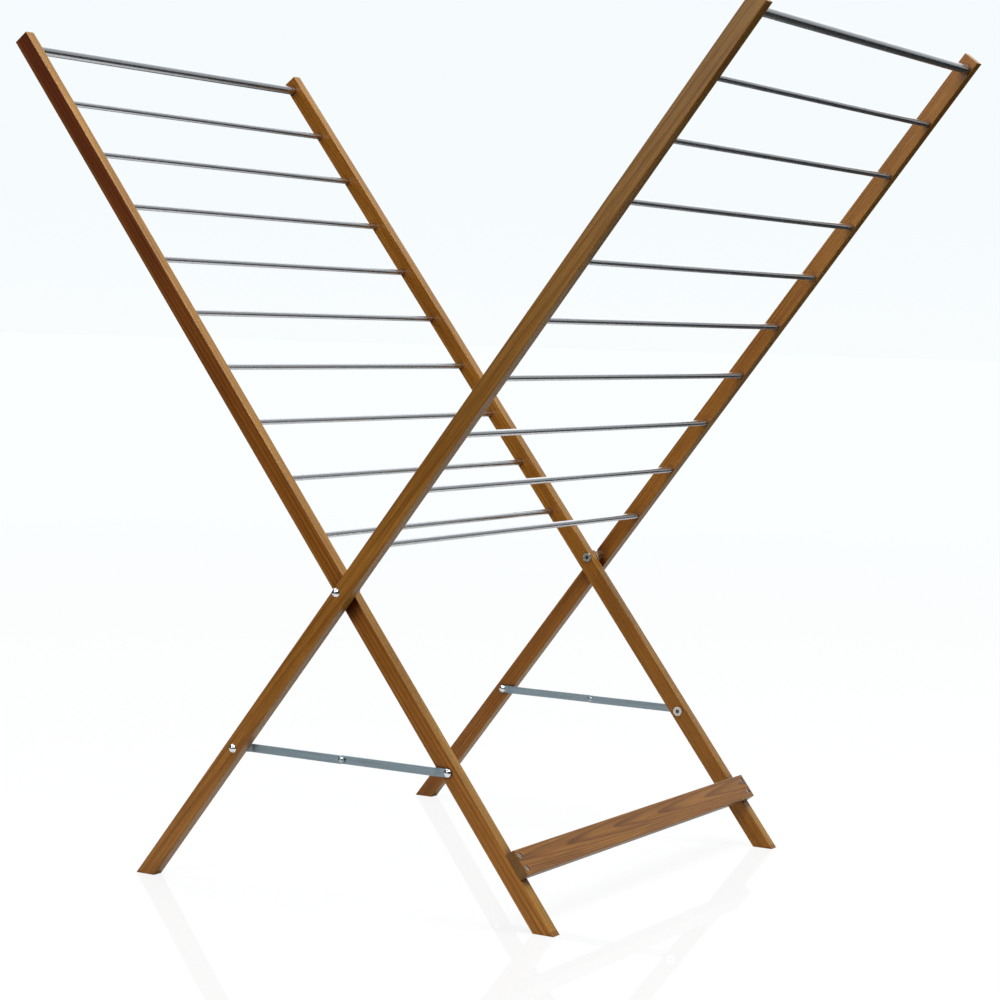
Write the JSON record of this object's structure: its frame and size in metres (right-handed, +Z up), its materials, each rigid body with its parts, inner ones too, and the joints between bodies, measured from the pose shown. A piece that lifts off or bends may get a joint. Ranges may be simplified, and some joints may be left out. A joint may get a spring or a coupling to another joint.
{
  "type": "clothes drying rack",
  "caption": "Folding X-frame clothes drying rack: crossed wooden rails, round steel hanging bars, a cross board near the feet, and jointed steel stays that hold it open.",
  "frame": {"origin": "on the floor, centred under the pivot between the four feet", "axes": "+Z up, +Y along the hanging bars towards the back rails, +X across the open rack towards the top of the outer frame"},
  "size_m": [0.9728, 0.5972, 0.9544],
  "materials": {
    "rail_wood": "satin brown stain",
    "board_wood": "satin brown stain",
    "bar_chrome": "polished",
    "dome_chrome": "polished",
    "socket_head_nickel": "nickel-plated",
    "stay_zinc": "zinc-plated, satin",
    "spacer_zinc": "zinc-plated, satin",
    "bright_screw": "zinc-plated"
  },
  "bodies": {
    "inner_frame": {"board_screws": "bright_screw", "cross_board": "board_wood", "inner_bar_1": "bar_chrome", "inner_bar_2": "bar_chrome", "inner_bar_3": "bar_chrome", "inner_bar_4": "bar_chrome", "inner_bar_5": "bar_chrome", "inner_bar_6": "bar_chrome", "inner_bar_7": "bar_chrome", "inner_bar_8": "bar_chrome", "inner_bar_9": "bar_chrome", "inner_rail_back": "rail_wood", "inner_rail_front": "rail_wood", "inner_stay_bolt_back": "socket_head_nickel", "inner_stay_bolt_front": "socket_head_nickel", "inner_stay_cap_back": "dome_chrome", "inner_stay_cap_front": "dome_chrome", "inner_stay_washers": "spacer_zinc", "inner_top_bar": "bar_chrome"},
    "outer_frame": {"outer_bar_1": "bar_chrome", "outer_bar_2": "bar_chrome", "outer_bar_3": "bar_chrome", "outer_bar_4": "bar_chrome", "outer_bar_5": "bar_chrome", "outer_bar_6": "bar_chrome", "outer_bar_7": "bar_chrome", "outer_bar_8": "bar_chrome", "outer_bar_9": "bar_chrome", "outer_rail_back": "rail_wood", "outer_rail_front": "rail_wood", "outer_stay_bolt_back": "dome_chrome", "outer_stay_bolt_front": "dome_chrome", "outer_stay_cap_back": "dome_chrome", "outer_stay_cap_front": "dome_chrome", "outer_stay_washers": "spacer_zinc", "outer_top_bar": "bar_chrome", "pivot_bolt_back": "dome_chrome", "pivot_bolt_front": "dome_chrome", "pivot_sleeve_back": "socket_head_nickel", "pivot_sleeve_front": "socket_head_nickel", "pivot_spacer_back": "spacer_zinc", "pivot_spacer_front": "spacer_zinc"},
    "inner_stay_front": {"inner_knuckle_rivet_front": "dome_chrome", "inner_stay_arm_front": "stay_zinc"},
    "inner_stay_back": {"inner_knuckle_rivet_back": "dome_chrome", "inner_stay_arm_back": "stay_zinc"},
    "outer_stay_front": {"outer_knuckle_rivet_front": "dome_chrome", "outer_stay_arm_front": "stay_zinc"},
    "outer_stay_back": {"outer_knuckle_rivet_back": "dome_chrome", "outer_stay_arm_back": "stay_zinc"}
  },
  "joints": [
    {"name": "fold", "type": "hinge", "parent": "inner_frame", "child": "outer_frame", "pos_m": [0, 0, 0.336], "axis": [0, -1, 0], "range_deg": [0, 75]},
    {"name": "inner_stay_front_turn", "type": "hinge", "parent": "inner_frame", "child": "inner_stay_front", "pos_m": [0.13292, -0.2744, 0.15438], "axis": [0, 1, 0], "range_deg": [0, 55]},
    {"name": "inner_stay_back_turn", "type": "hinge", "parent": "inner_frame", "child": "inner_stay_back", "pos_m": [0.13292, 0.2744, 0.15438], "axis": [0, 1, 0], "range_deg": [0, 55]},
    {"name": "outer_stay_front_turn", "type": "hinge", "parent": "outer_frame", "child": "outer_stay_front", "pos_m": [-0.13292, -0.2806, 0.15438], "axis": [0, -1, 0], "range_deg": [0, 55]},
    {"name": "outer_stay_back_turn", "type": "hinge", "parent": "outer_frame", "child": "outer_stay_back", "pos_m": [-0.13292, 0.2806, 0.15438], "axis": [0, -1, 0], "range_deg": [0, 55]}
  ],
  "couplings": [
    {"joint": "inner_stay_front_turn", "follows": "fold", "ratio": 0.72936},
    {"joint": "inner_stay_back_turn", "follows": "fold", "ratio": 0.72936},
    {"joint": "outer_stay_front_turn", "follows": "fold", "ratio": 0.72936},
    {"joint": "outer_stay_back_turn", "follows": "fold", "ratio": 0.72936}
  ]
}
